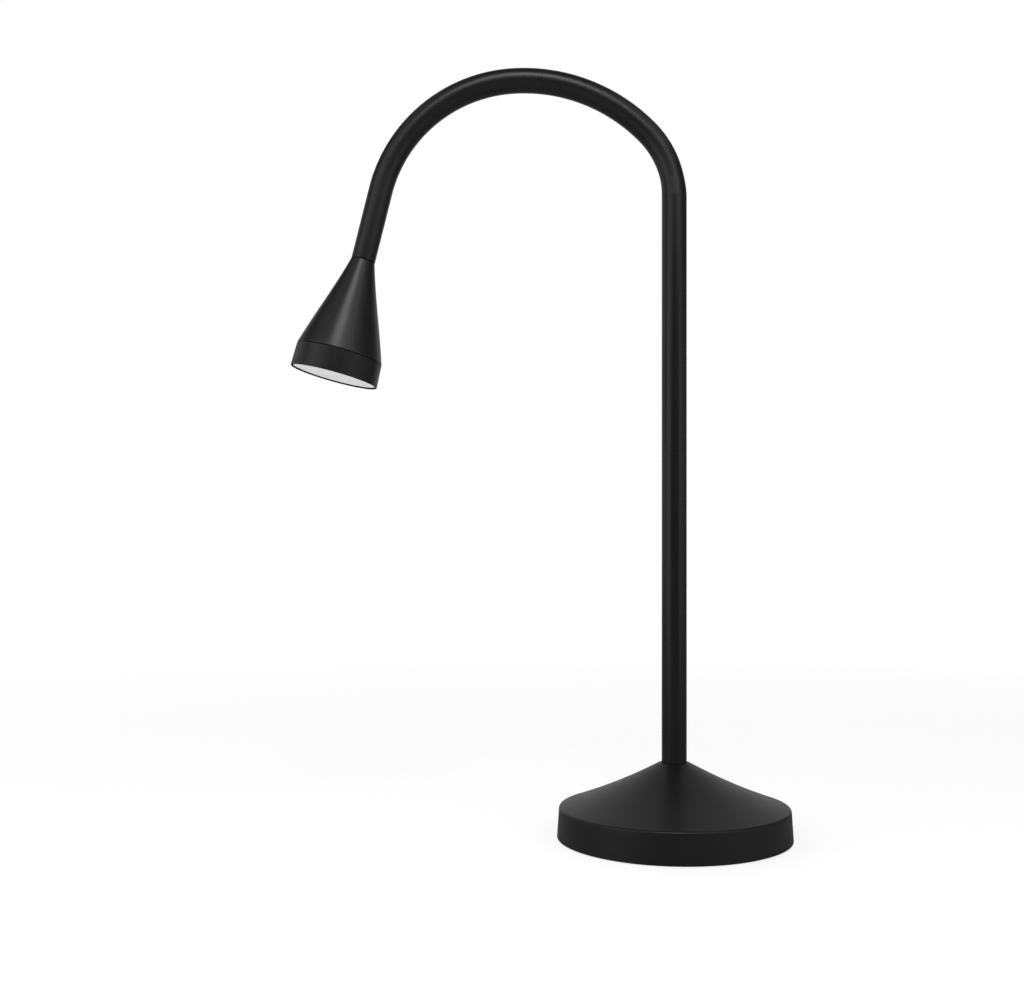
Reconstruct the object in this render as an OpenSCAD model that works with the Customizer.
// Gooseneck desk lamp: a weighted round base, a straight stem, a flexible arched neck and a
// conical LED head. The stem stands on the origin, +Z is up and the head hangs towards -X.
// Lengths are millimetres and angles are degrees.
//
// The neck is a wound steel coil in a smooth sleeve. It bends at twelve places: at a "P" piece
// in the plane of the arch, and at an "S" piece sideways. Between two bends the coil is rigid.

/* [Base] */
// Diameter of the base at its foot
base_d = 140.6; // [124:0.2:170]
// How far the rim is set in from the foot
rim_inset = 1.1; // [0.4:0.1:2.5]
// Height of the rim, where the wall meets the sweep
rim_h = 18.6; // [16.5:0.1:24]
// Radius of the rounded rim edge
rim_round = 1.6; // [0.5:0.1:2.5]
// Diameter of the flat crown round the stem
crown_d = 18.4; // [18.4:0.1:26]
// Height of the crown
crown_h = 45; // [42:0.5:56]
// Radius of the hollow sweep between crown and rim
sweep_r = 380; // [180:1:800]
// Wall of the base cover
cover_t = 2; // [1.6:0.1:2.6]
// Height of the cover's foot above the table
foot_gap = 0.6; // [0.4:0.1:1]
// Wall of the cover's lip round the bottom plate
lip_t = 1.2; // [0.8:0.1:1.6]
// Thickness of the non-slip pad
pad_t = 1.2; // [1.1:0.1:2]
// Thickness of the steel bottom plate
plate_t = 1.5; // [1.5:0.1:3]
// Thickness of the cast ballast disc
ballast_t = 12; // [8:0.5:14]
// Diameter of the cover's screw bosses
boss_d = 8; // [6:0.5:10]
// Distance of the screw bosses from the edge of the foot
boss_inset = 20; // [14:0.5:24]

/* [Cord inlet] */
// Bore of the cord grommet
inlet_d = 6.2; // [5:0.1:7]
// Wall of the grommet round its bore
grommet_wall = 1.5; // [1:0.1:2]
// How far the grommet's flanges stand out round the hole
grommet_lip = 1.4; // [0.8:0.1:1.6]
// Thickness of each grommet flange
grommet_flange_t = 1.4; // [0.8:0.1:2]

/* [Stem] */
// Outer diameter of the stem tube
stem_d = 15; // [13.5:0.1:16.5]
// Wall of the stem tube
stem_wall = 1.3; // [0.8:0.1:1.6]
// Height of the stem's top above the table
stem_top = 383.7; // [300:0.1:450]
// Height of the stem's seat in the ballast hub
stem_seat_h = 30; // [28:0.5:32]
// Depth of the plugs that are pressed into the stem's two ends
plug_l = 15; // [8:0.5:25]
// Diameter of the threaded spigot under the stem
spigot_d = 10; // [9:0.5:11]
// Width across the flats of the stem nut
stem_nut_af = 17; // [16:0.5:19]
// Height of the stem nut
stem_nut_h = 5; // [4:0.5:6]
// Diameter of the stem washer
washer_d = 20; // [18:0.5:22]
// Thickness of the stem washer
washer_t = 1.5; // [1:0.1:2]
// Thickness of the hub's web between stem and washer
web_t = 4; // [3:0.5:5]
// Wall of the ballast hub round the stem nut
hub_wall = 4; // [3:0.5:6]

/* [Neck] */
// Outer diameter of the neck sleeve
neck_d = 14.2; // [14:0.1:15]
// Wall of the neck sleeve
sleeve_t = 0.7; // [0.5:0.1:0.9]
// Radius of the arch where it leaves the stem
arch_r1 = 56; // [48:0.5:70]
// Turn of the arch where it leaves the stem
arch_a1 = 44.5; // [38:0.1:50]
// Radius over the top of the arch
arch_r2 = 103.8; // [90:0.1:120]
// Turn over the top of the arch
arch_a2 = 50; // [40:0.1:56]
// Radius of the arch on its way down
arch_r3 = 87.4; // [78:0.1:100]
// Turn of the arch on its way down
arch_a3 = 71.4; // [60:0.1:74]
// Length of the straight end above the head
tail_l = 43.5; // [40:0.1:60]
// Length of each piece that bends sideways
sway_l = 15.6; // [14:0.1:17]
// Wall of the coil's core round the lead
core_t = 2.9; // [2.6:0.1:3.2]
// Length of one turn of the coil
turn_l = 2.2; // [1.6:0.1:2.4]
// Distance from one turn of the coil to the next
turn_pitch = 3.1; // [2.9:0.1:4]
// Chamfer on the edges of a turn
turn_chamfer = 0.5; // [0.2:0.1:0.6]
// Gap in the coil at each bend
bend_gap = 4.5; // [4.4:0.1:5]

/* [Head] */
// Diameter of the head where it meets the neck
nose_d = 14.2; // [13.6:0.1:14.8]
// Length of the conical shell
cone_l = 57.4; // [50:0.1:70]
// Diameter of the shell where it meets the ring
cone_d = 51.2; // [48:0.1:58]
// Slope of the shell's side at the neck
nose_slope = 15; // [12:0.5:18]
// Slope of the shell's side at the ring
front_slope = 16.5; // [10:0.5:18]
// Wall of the conical shell
head_wall = 2; // [1.4:0.1:2.2]
// Length of the front ring
ring_l = 14.2; // [12:0.1:20]
// How much wider the ring is at its rim than at the shell
ring_flare = 1.1; // [0:0.1:3]
// Wall of the front ring
ring_wall = 2.2; // [1.8:0.1:2.6]
// Width of the ring's visible edge round the diffuser
ring_edge = 0.9; // [0.6:0.1:1.4]
// Wall of the shell round the ring's spigot
land_wall = 1.5; // [1.2:0.1:1.6]
// Depth of the spigot's land in the shell
land_l = 7.4; // [6:0.1:10]
// Wall of the ring's spigot
spigot_wall = 1.3; // [1:0.1:1.6]
// Thickness of the opal diffuser
diffuser_t = 2.2; // [1.5:0.1:3]
// How far the diffuser lies behind the rim
diffuser_inset = 0.9; // [0.2:0.1:1.5]
// Diameter of the threaded nipple that holds the head
nipple_d = 8; // [7.5:0.1:9]
// Width across the flats of the head nut
head_nut_af = 13; // [12:0.5:14]
// Height of the head nut
head_nut_h = 5; // [3:0.5:6]
// Width of the seams between neck, shell and ring
seam = 0.3; // [0.2:0.05:0.5]

/* [Light engine] */
// Thickness of the heat sink's disc
sink_t = 3; // [2:0.1:3.4]
// Height of the heat sink's fins
fin_l = 11; // [6:0.5:14]
// Thickness of one fin
fin_t = 1.2; // [0.8:0.1:1.6]
// Number of fins
fin_count = 12; // [8:1:16]
// Thickness of the LED board
led_board_t = 1.6; // [1:0.1:2]
// Width, length and height of one LED
led_size = [2.8, 3.5, 0.7];
// Number of LEDs on the outer circle
led_count = 12; // [6:3:12]
// Wall of the white reflector
reflector_t = 0.8; // [0.5:0.1:1]

/* [Electrics] */
// Diameter of the two-core lead
lead_d = 3.8; // [3:0.1:4.2]
// Radial room round the lead in its bores
lead_room = 0.7; // [0.5:0.05:0.8]
// Radius of the lead's bend under the stem
lead_bend = 9; // [7:0.5:9.5]
// Length of the driver board
board_l = 30; // [26:0.5:32]
// Width of the driver board
board_w = 22; // [20:0.5:24]
// Thickness of the driver board
board_t = 1.6; // [1:0.1:2]
// Height of the driver board's feet
board_foot_h = 3; // [2:0.1:3.5]
// Width, length and height of the terminal block
terminal = [12, 10, 8];
// Distance between the two wires in the terminal block
wire_pitch = 5.6; // [4.5:0.1:6.5]
// Diameter of one insulated wire
wire_d = 1.6; // [1.2:0.1:1.8]

/* [Fits] */
// Clearance of a pressed or turned fit
fit = 0.05; // [0.02:0.01:0.1]
// Clearance between parts that are laid or dropped together
play = 0.3; // [0.2:0.05:0.4]
// Clearance round the ballast
cast_room = 1; // [0.6:0.1:1.5]

/* [Hidden] */
$fn = 96;
tiny = 0.001;
// How far a cut runs past the face that it opens
over = 1;
black = "#2b2c2e";
matt = "#232426";
steel = "#a9acb0";
iron = "#5d5f61";
white = "#f1f1ec";

// Base
base_r = base_d / 2;
rim_r = base_r - rim_inset;
crown_r = crown_d / 2;
stem_r = stem_d / 2;
stem_bore_r = stem_r - stem_wall;
hole_r = stem_r + play;
lead_r = lead_d / 2;
lead_bore_r = lead_r + lead_room;
plate_top = pad_t + plate_t;
wall_r = rim_r - cover_t;
seat_r = base_r - lip_t;
crown_round = 0.6;
lean_angle = atan(rim_inset / rim_h);
sweep_steps = 16;
round_steps = 5;
boss_ring_r = base_r - boss_inset;
boss_angles = [30, 150, 270];
boss_room = 0.5;
nut_corner = 1 / cos(30);
counterbore_r = max(stem_nut_af * nut_corner, washer_d) / 2 + cast_room;
hub_r = counterbore_r + hub_wall;
web_z = stem_seat_h - web_t;
washer_z = web_z - washer_t;
stem_nut_z = washer_z - stem_nut_h;
spigot_overrun = 1;
spigot_z = stem_nut_z - spigot_overrun;

// Fasteners
screw_r = 1.5;
screw_head_r = 2.9;
screw_head_h = 1.4;
screw_l = 11;
small_screw_r = 1.1;
small_head_r = 1.9;
small_head_h = 1.4;

// Cord inlet, midway up the rear wall
inlet_r = inlet_d / 2;
grommet_r = inlet_r + grommet_wall;
flange_r = grommet_r + grommet_lip;
inlet_z = (plate_top + rim_h - rim_round) / 2;
wall_out_y = base_r - rim_inset * (inlet_z - flange_r) / rim_h + fit;
wall_in_y = sqrt(pow(wall_r, 2) - pow(flange_r, 2)) - fit;

// Electrics, with the driver board midway between the hub and the cord inlet
board_y = (hub_r + wall_in_y - grommet_flange_t - board_l) / 2;
board_z = plate_top + board_foot_h;
board_foot_r = 2;
board_edge = 3;
slot_room = 4;
slot_w = board_w + 2 * slot_room;
slot_gap = 2;
slot_y = hub_r + slot_gap;
lead_z = board_z + board_t + play + lead_r;
terminal_edge = 1;
terminal_hole_r = 1.6;
terminal_y = board_y + board_l - terminal.y - terminal_edge;
wire_spread = 5;
wire_depth = 3;
jacket_end = terminal_y - wire_spread;
// Radius and height of the inductor and the capacitor, and size of the two small packages
inductor = [3, 4];
capacitor = [2.5, 6];
package = [3, 3, 1.5];
part_inset = 4;

// Neck
neck_r = neck_d / 2;
sleeve_in_r = neck_r - sleeve_t;
coil_r = sleeve_in_r - play;
core_r = lead_bore_r + core_t;
end_inset = 0.3;
lead_gap = 1.8;
sleeve_seam = 0.02;
function arc_l(radius, turn) = radius * turn * PI / 180;
// Each stretch of the neck is [length, turn, the pieces in it]
stretches = [
    [arc_l(arch_r1, arch_a1), arch_a1, "PS"],
    [arc_l(arch_r2, arch_a2), arch_a2, "PPSP"],
    [arc_l(arch_r3, arch_a3), arch_a3, "PPSP"],
    [tail_l, 0, "PS"]
];
function count(pattern, kind) = len([for (c = pattern) if (c == kind) c]);
function piece_l(stretch, kind) = kind == "S" ? sway_l :
    (stretch[0] - sway_l * count(stretch[2], "S")) / count(stretch[2], "P");
pieces = [for (s = stretches) for (kind = s[2]) piece_l(s, kind)];
function total(list, n) = n == 0 ? 0 : total(list, n - 1) + list[n - 1];
// Length along the neck to the start of each piece, and to the start of each stretch
piece_marks = [for (i = [0 : len(pieces)]) total(pieces, i)];
stretch_marks = [for (i = [0 : len(stretches)]) total([for (s = stretches) s[0]], i)];
neck_l = stretch_marks[len(stretches)];
link_count = len(pieces) - 1;
function bend_at(k) = (piece_marks[k - 1] + piece_marks[k]) / 2;

// A pose on the neck is [x, z, heading], and heading counts from +Z towards -X
function step(pose, length, turn) = let (h = pose[2], h2 = h + turn) turn == 0 ?
    [pose.x - length * sin(h), pose[1] + length * cos(h), h] :
    let (r = length * 180 / (PI * turn))
    [pose.x + r * (cos(h2) - cos(h)), pose[1] + r * (sin(h2) - sin(h)), h2];
function stretch_pose(i) = i == 0 ? [0, stem_top, 0] :
    step(stretch_pose(i - 1), stretches[i - 1][0], stretches[i - 1][1]);
function stretch_of(s) = min(len([for (m = stretch_marks) if (m <= s) m]), len(stretches)) - 1;
function pose_at(s) = let (i = stretch_of(s), part = s - stretch_marks[i])
    step(stretch_pose(i), part, stretches[i][1] * part / stretches[i][0]);

// Head, measured forward from the seam with the neck
nose_r = nose_d / 2;
cone_r = cone_d / 2;
rim_edge_r = cone_r + ring_flare / 2;
head_l = cone_l + ring_l;
cone_steps = 24;
wall_run = head_wall / cos(atan((cone_r - nose_r) / cone_l));
nipple_r = nipple_d / 2;
head_nut_r = head_nut_af / 2 * nut_corner;
// Side of the shell: a smooth curve from the nose to the ring with a set slope at each end
function cone_at(z) = let (u = z / cone_l)
    (2 * pow(u, 3) - 3 * u * u + 1) * nose_r
    + (pow(u, 3) - 2 * u * u + u) * cone_l * tan(nose_slope)
    + (3 * u * u - 2 * pow(u, 3)) * cone_r
    + (pow(u, 3) - u * u) * cone_l * tan(front_slope);
// Length at which the shell has a radius, found by halving the stretch from z0 to z1
function cone_find(r, z0, z1, tries = 24) = let (z = (z0 + z1) / 2)
    tries == 0 ? z : cone_at(z) < r ? cone_find(r, z, z1, tries - 1) : cone_find(r, z0, z, tries - 1);
// The solid nose ends where the hollow behind it is wide enough for the nut
nose_l = cone_find(head_nut_r + play + wall_run, 0, cone_l);
nipple_overrun = 1.5;
nipple_l = nose_l + head_nut_h + nipple_overrun;
sink_z = cone_l - land_l;
land_r = cone_at(sink_z) - land_wall;
led_board_z = sink_z + sink_t;
spigot_in_r = land_r - fit - spigot_wall;
shoulder_z = cone_l + seam;
shoulder_t = 1.5;
ring_in_r = cone_r - ring_wall;
recess_r = rim_edge_r - ring_edge;
ledge_z = head_l - diffuser_inset - diffuser_t;
edge_round = 0.4;
led_board_r = spigot_in_r - play;
led_ring_share = 0.64;
led_ring_r = led_board_r * led_ring_share;
small_screw_inset = 3.6;
small_screw_ring_r = led_board_r - small_screw_inset;
fin_room = 3;
fin_out_r = cone_at(sink_z - fin_l) - wall_run - fin_room;
fin_in_r = 5;
sink_bore_r = lead_r + play;

function two(i) = i < 10 ? str("0", i) : str(i);
function part_name(stem_word, i) = str(stem_word, "_", two(i));

// ---- Outline of the base ----

// The sweep is a hollow arc through the crown's edge and the rim; its centre lies outside
sweep_chord = [rim_r, rim_h] - [crown_r, crown_h];
sweep_rise = sqrt(pow(sweep_r, 2) - pow(norm(sweep_chord) / 2, 2));
sweep_c = ([rim_r, rim_h] + [crown_r, crown_h]) / 2
    + sweep_rise * [-sweep_chord.y, sweep_chord.x] / norm(sweep_chord);
// Height of the sweep at a radius, and its radius at a height, both a depth below the surface
function sweep_z(r, depth) = sweep_c.y - sqrt(pow(sweep_r + depth, 2) - pow(r - sweep_c.x, 2));
function sweep_at(z, depth) = sweep_c.x - sqrt(pow(sweep_r + depth, 2) - pow(z - sweep_c.y, 2));
function sweep_line(r0, r1, depth) =
    [for (i = [0 : sweep_steps]) let (r = r0 + (r1 - r0) * i / sweep_steps) [r, sweep_z(r, depth)]];

function rim_edge() =
    let (c = [rim_r - rim_round, sweep_z(rim_r - rim_round, rim_round)],
         top = atan2(sweep_c.y - c.y, sweep_c.x - c.x))
    [for (i = [0 : round_steps]) let (a = top + (lean_angle - top) * i / round_steps)
        c + rim_round * [cos(a), sin(a)]];

function crown_edge() =
    [for (i = [0 : round_steps]) let (a = 180 - 90 * i / round_steps)
        [hole_r + crown_round, crown_h - crown_round] + crown_round * [cos(a), sin(a)]];

// Everything under the cover at a depth below its surface, down to the plate
module under_cover(depth) {
    top_r = max(sweep_at(crown_h - depth, depth), tiny);
    side_r = rim_r - depth;
    polygon(concat([[0, plate_top], [0, crown_h - depth]], sweep_line(top_r, side_r, depth),
        [[side_r, plate_top]]));
}

// ---- Placing on the neck ----

module on_neck(s) {
    p = pose_at(s);
    translate([p.x, 0, p[1]]) rotate([0, -p[2], 0]) children();
}

// A straight or curved bar from the origin, heading along +Z, with the bend of stretch i
module bar(i, length, r_out, r_in) {
    turn = stretches[i][1] * length / stretches[i][0];
    if (turn == 0) linear_extrude(length) ring_2d(r_out, r_in);
    else {
        bend_r = length * 180 / (PI * turn);
        translate([-bend_r, 0, 0]) rotate([90, 0, 0]) rotate_extrude(angle = turn)
            translate([bend_r, 0]) ring_2d(r_out, r_in);
    }
}

// A bar or tube that follows the neck from one length to another. It is drawn both ways from
// the stretch mark that it crosses, or back from the neck's end, so that its parts meet exactly.
module neck_bar(s0, s1, r_out, r_in = 0) {
    first = stretch_of(s0 + tiny);
    last = stretch_of(s1 - tiny);
    anchor = neck_l - s1 < tiny ? neck_l : first == last ? s0 : stretch_marks[last];
    on_neck(anchor) {
        if (s1 - anchor > tiny) bar(last, s1 - anchor, r_out, r_in);
        if (anchor - s0 > tiny) mirror([0, 0, 1]) bar(first, anchor - s0, r_out, r_in);
    }
}

module ring_2d(r_out, r_in) {
    difference() {
        circle(r_out);
        if (r_in > 0) circle(r_in);
    }
}

module coil_turn() {
    rotate_extrude() polygon([
        [core_r - turn_chamfer, -turn_l / 2], [coil_r - turn_chamfer, -turn_l / 2],
        [coil_r, turn_chamfer - turn_l / 2], [coil_r, turn_l / 2 - turn_chamfer],
        [coil_r - turn_chamfer, turn_l / 2], [core_r - turn_chamfer, turn_l / 2]]);
}

// A run of wound coil: a core with turns at an even pitch
module coil_run(s0, s1, bore_r = lead_bore_r) {
    first = s0 + end_inset + turn_l / 2;
    last = s1 - end_inset - turn_l / 2;
    gaps = max(round((last - first) / turn_pitch), 1);
    neck_bar(s0, s1, core_r, bore_r);
    for (i = [0 : gaps]) on_neck(first + (last - first) * i / gaps) coil_turn();
}

module at_head() {
    on_neck(neck_l) children();
}

module tube(length, r_out, r_in) {
    linear_extrude(length) ring_2d(r_out, r_in);
}

module hex_nut(across, height, bore_r) {
    difference() {
        cylinder(h = height, r = across / 2 * nut_corner, $fn = 6);
        translate([0, 0, -over]) cylinder(h = height + 2 * over, r = bore_r);
    }
}

module at_bosses() {
    for (a = boss_angles) rotate([0, 0, a]) translate([boss_ring_r, 0, 0]) children();
}

// ---- Base ----

module base_cover() {
    color(black) difference() {
        union() {
            rotate_extrude() difference() {
                polygon(concat([[0, foot_gap], [0, crown_h]], [[hole_r + crown_round, crown_h]],
                    sweep_line(crown_r, rim_edge()[0].x, 0), rim_edge(), [[base_r, foot_gap]]));
                under_cover(cover_t);
                square([seat_r, plate_top]);
            }
            intersection() {
                at_bosses() cylinder(h = crown_h, d = boss_d);
                rotate_extrude() under_cover(cover_t / 2);
            }
        }
        // Hole for the stem, with a rounded upper edge
        rotate_extrude() polygon(concat([[0, crown_h + over], [0, crown_h - 2 * cover_t],
            [hole_r, crown_h - 2 * cover_t]], crown_edge(), [[hole_r + crown_round, crown_h + over]]));
        at_bosses() cylinder(h = plate_top + screw_l, r = screw_r + fit);
        translate([0, wall_in_y - over, inlet_z]) rotate([-90, 0, 0])
            cylinder(h = base_r, r = grommet_r + fit);
    }
}

module base_ballast() {
    color(iron) difference() {
        rotate_extrude() intersection() {
            under_cover(cover_t + cast_room);
            union() {
                square([base_r, plate_top + ballast_t]);
                square([hub_r, crown_h]);
            }
        }
        // Socket for the stem, hole for the spigot and room for the nut
        translate([0, 0, stem_seat_h]) cylinder(h = crown_h, r = stem_r + fit);
        cylinder(h = crown_h, r = spigot_d / 2 + play);
        translate([0, 0, -over]) cylinder(h = web_z + over, r = counterbore_r);
        at_bosses() cylinder(h = crown_h, r = boss_d / 2 + boss_room);
        // Open slot for the electrics at the rear, and the lead's way to the middle
        translate([-slot_w / 2, slot_y, 0]) cube([slot_w, base_r, crown_h]);
        translate([-lead_bore_r, 0, 0])
            cube([2 * lead_bore_r, slot_y + over, lead_z + lead_bore_r]);
    }
}

module base_plate() {
    color(steel) difference() {
        translate([0, 0, pad_t]) cylinder(h = plate_t, r = seat_r - play);
        at_bosses() {
            cylinder(h = crown_h, r = screw_r + play);
            translate([0, 0, pad_t - tiny])
                cylinder(h = screw_head_h, r1 = screw_head_r + play, r2 = screw_r + play);
        }
    }
}

module base_plate_screws() {
    color(steel) at_bosses() translate([0, 0, pad_t]) {
        cylinder(h = screw_head_h, r1 = screw_head_r, r2 = screw_r);
        cylinder(h = screw_l, r = screw_r);
    }
}

module base_pad() {
    color("#1b1b1c") cylinder(h = pad_t, r = seat_r - play);
}

module cord_grommet() {
    length = wall_out_y - wall_in_y;
    color("#191919") translate([0, wall_in_y - grommet_flange_t, inlet_z]) rotate([-90, 0, 0])
        difference() {
            union() {
                cylinder(h = length + 2 * grommet_flange_t, r = grommet_r);
                cylinder(h = grommet_flange_t, r = flange_r);
                translate([0, 0, length + grommet_flange_t])
                    cylinder(h = grommet_flange_t, r = flange_r);
            }
            translate([0, 0, -over])
                cylinder(h = length + 2 * grommet_flange_t + 2 * over, r = inlet_r);
        }
}

module driver_board() {
    part_x = board_w / 2 - part_inset;
    color("#1f6b45") translate([0, board_y, board_z]) {
        translate([-board_w / 2, 0, 0]) cube([board_w, board_l, board_t]);
        for (x = [-1, 1], y = [board_edge, board_l - board_edge])
            translate([x * (board_w / 2 - board_edge), y, -board_foot_h])
                cylinder(h = board_foot_h, r = board_foot_r);
        // Inductor, capacitor and two small packages, either side of the lead
        translate([-part_x, board_l / 3, board_t]) cylinder(h = inductor[1], r = inductor[0]);
        translate([part_x, board_l / 3, board_t]) cylinder(h = capacitor[1], r = capacitor[0]);
        for (x = [-part_x, part_x])
            translate([x - package.x / 2, package.y, board_t - tiny]) cube(package);
    }
}

module terminal_block() {
    color("#3c6e4c") translate([0, terminal_y, board_z + board_t]) difference() {
        translate([-terminal.x / 2, 0, 0]) cube(terminal);
        for (x = [-wire_pitch / 2, wire_pitch / 2]) {
            translate([x, -over, lead_z - board_z - board_t]) rotate([-90, 0, 0])
                cylinder(h = terminal.y + 2 * over, r = wire_d / 2 + play);
            translate([x, terminal.y / 2, terminal.z / 2])
                cylinder(h = terminal.z, r = terminal_hole_r);
        }
    }
}

// ---- Stem ----

module stem() {
    color(black) translate([0, 0, stem_seat_h]) tube(stem_top - stem_seat_h, stem_r, stem_bore_r);
}

module stem_plug() {
    color(steel) difference() {
        union() {
            translate([0, 0, stem_seat_h]) cylinder(h = plug_l, r = stem_bore_r - fit);
            translate([0, 0, spigot_z])
                cylinder(h = stem_seat_h - spigot_z + over, r = spigot_d / 2);
        }
        cylinder(h = stem_top, r = lead_bore_r);
    }
}

module stem_washer() {
    color(steel) translate([0, 0, washer_z]) tube(washer_t, washer_d / 2, spigot_d / 2 + play);
}

module stem_nut() {
    color(steel) translate([0, 0, stem_nut_z]) hex_nut(stem_nut_af, stem_nut_h, spigot_d / 2 + fit);
}

module stem_lead() {
    color("#303030") {
        translate([0, lead_bend, lead_z]) rotate([-90, 0, 0])
            cylinder(h = jacket_end - lead_bend, r = lead_r);
        translate([0, lead_bend, lead_z + lead_bend]) rotate([0, 90, 0]) rotate([0, 0, -90])
            rotate_extrude(angle = 90) translate([lead_bend, 0]) circle(lead_r);
        translate([0, 0, lead_z + lead_bend]) cylinder(h = stem_top - lead_z - lead_bend, r = lead_r);
        neck_bar(0, bend_at(1) - lead_gap / 2, lead_r);
        // The two wires spread into the terminal block
        for (side = [-1, 1]) {
            spread = side * (wire_pitch - wire_d) / 2;
            translate([side * wire_d / 2, jacket_end - over, lead_z])
                rotate([-90, 0, -atan(spread / wire_spread)])
                    cylinder(h = norm([spread, wire_spread]) + over, r = wire_d / 2);
            translate([side * wire_pitch / 2, terminal_y - wire_d / 4, lead_z]) rotate([-90, 0, 0])
                cylinder(h = wire_depth, r = wire_d / 2);
        }
    }
}

// ---- Neck ----

module neck_socket() {
    color(steel) {
        translate([0, 0, stem_top - plug_l]) tube(plug_l, stem_bore_r - fit, lead_bore_r);
        coil_run(0, bend_at(1) - bend_gap / 2);
    }
}

module coil(i) {
    color(steel) coil_run(bend_at(i) + bend_gap / 2, bend_at(i + 1) - bend_gap / 2);
}

module sleeve(i) {
    first = i == 1 ? seam : piece_marks[i - 1];
    last = i == len(pieces) ? neck_l - seam : piece_marks[i] - sleeve_seam;
    color(matt) neck_bar(first, last, neck_r, sleeve_in_r);
}

module lead(i) {
    color("#303030") neck_bar(bend_at(i) + lead_gap / 2, bend_at(i + 1) - lead_gap / 2, lead_r);
}

// ---- Head ----

module head_socket() {
    color(steel) difference() {
        union() {
            coil_run(bend_at(link_count + 1) + bend_gap / 2, neck_l, 0);
            at_head() translate([0, 0, -over]) cylinder(h = nipple_l + over, r = nipple_r);
        }
        at_head() translate([0, 0, -sway_l]) cylinder(h = sway_l + nipple_l + over, r = lead_bore_r);
    }
}

module head_nut() {
    color(steel) at_head() translate([0, 0, nose_l])
        hex_nut(head_nut_af, head_nut_h, nipple_r + fit);
}

module head_shell() {
    inner = [for (i = [0 : cone_steps]) let (z = nose_l + (sink_z - nose_l) * i / cone_steps)
        [cone_at(z) - wall_run, z]];
    outer = [for (i = [cone_steps : -1 : 0]) let (z = cone_l * i / cone_steps) [cone_at(z), z]];
    color(black) at_head() rotate_extrude() polygon(concat(
        [[nipple_r + fit, 0], [nipple_r + fit, nose_l]], inner,
        [[land_r, sink_z], [land_r, cone_l]], outer));
}

module head_ring() {
    edge = [for (i = [0 : round_steps]) let (a = 90 * i / round_steps)
        [rim_edge_r - edge_round, head_l - edge_round] + edge_round * [cos(a), sin(a)]];
    color(black) at_head() rotate_extrude() polygon(concat(
        [[spigot_in_r, led_board_z + tiny], [land_r - fit, led_board_z + tiny],
         [land_r - fit, shoulder_z], [cone_r, shoulder_z]], edge,
        [[recess_r, head_l], [recess_r, ledge_z], [ring_in_r, ledge_z],
         [ring_in_r, shoulder_z + shoulder_t], [spigot_in_r, shoulder_z + shoulder_t]]));
}

module heat_sink() {
    color(steel) at_head() difference() {
        union() {
            translate([0, 0, sink_z]) cylinder(h = sink_t, r = land_r - fit);
            for (i = [0 : fin_count - 1]) rotate([0, 0, 360 * i / fin_count])
                translate([fin_in_r, -fin_t / 2, sink_z - fin_l])
                    cube([fin_out_r - fin_in_r, fin_t, fin_l + over]);
        }
        translate([0, 0, sink_z - over]) {
            cylinder(h = sink_t + 2 * over, r = sink_bore_r);
            at_led_screws() cylinder(h = sink_t + 2 * over, r = small_screw_r + fit);
        }
    }
}

module at_led_screws() {
    for (i = [0 : 2]) rotate([0, 0, 120 * i + 180 / led_count])
        translate([small_screw_ring_r, 0, 0]) children();
}

module led_board() {
    color(white) at_head() translate([0, 0, led_board_z]) difference() {
        cylinder(h = led_board_t, r = led_board_r);
        at_led_screws() translate([0, 0, -over])
            cylinder(h = led_board_t + 2 * over, r = small_screw_r + fit);
    }
}

module led_chips() {
    color("#f0d060") at_head() translate([0, 0, led_board_z + led_board_t]) {
        for (i = [0 : led_count - 1]) rotate([0, 0, 360 * i / led_count])
            translate([led_ring_r - led_size.y / 2, -led_size.x / 2, 0])
                cube([led_size.y, led_size.x, led_size.z]);
        for (i = [0 : 5]) rotate([0, 0, 60 * i])
            translate([led_ring_r / 2 - led_size.y / 2, -led_size.x / 2, 0])
                cube([led_size.y, led_size.x, led_size.z]);
    }
}

module led_screws() {
    head_z = led_board_z + led_board_t;
    color(steel) at_head() at_led_screws() {
        translate([0, 0, sink_z]) cylinder(h = head_z - sink_z + small_head_h / 2, r = small_screw_r);
        translate([0, 0, head_z]) cylinder(h = small_head_h, r = small_head_r);
    }
}

module reflector() {
    foot_r = led_board_r - play;
    z0 = led_board_z + led_board_t;
    z1 = shoulder_z + shoulder_t;
    z2 = ledge_z;
    mouth_r = ring_in_r - play;
    color(white) at_head() rotate_extrude() polygon([
        [foot_r - reflector_t, z0], [foot_r, z0], [foot_r, z1], [mouth_r, z2 - tiny],
        [mouth_r - reflector_t, z2 - tiny], [foot_r - reflector_t, z1]]);
}

module diffuser() {
    color("#e4e5e2") at_head() translate([0, 0, ledge_z])
        cylinder(h = diffuser_t, r = recess_r - fit);
}

module head_lead() {
    color("#303030") {
        neck_bar(bend_at(link_count + 1) + lead_gap / 2, neck_l, lead_r);
        at_head() cylinder(h = led_board_z, r = lead_r);
    }
}

base_cover();
base_ballast();
base_plate();
base_plate_screws();
base_pad();
cord_grommet();
driver_board();
terminal_block();
stem();
stem_plug();
stem_washer();
stem_nut();
stem_lead();
neck_socket();
for (i = [1 : link_count]) coil(i);
for (i = [1 : link_count + 1]) sleeve(i);
for (i = [1 : link_count]) lead(i);
head_socket();
head_nut();
head_shell();
head_ring();
heat_sink();
led_board();
led_chips();
led_screws();
reflector();
diffuser();
head_lead();
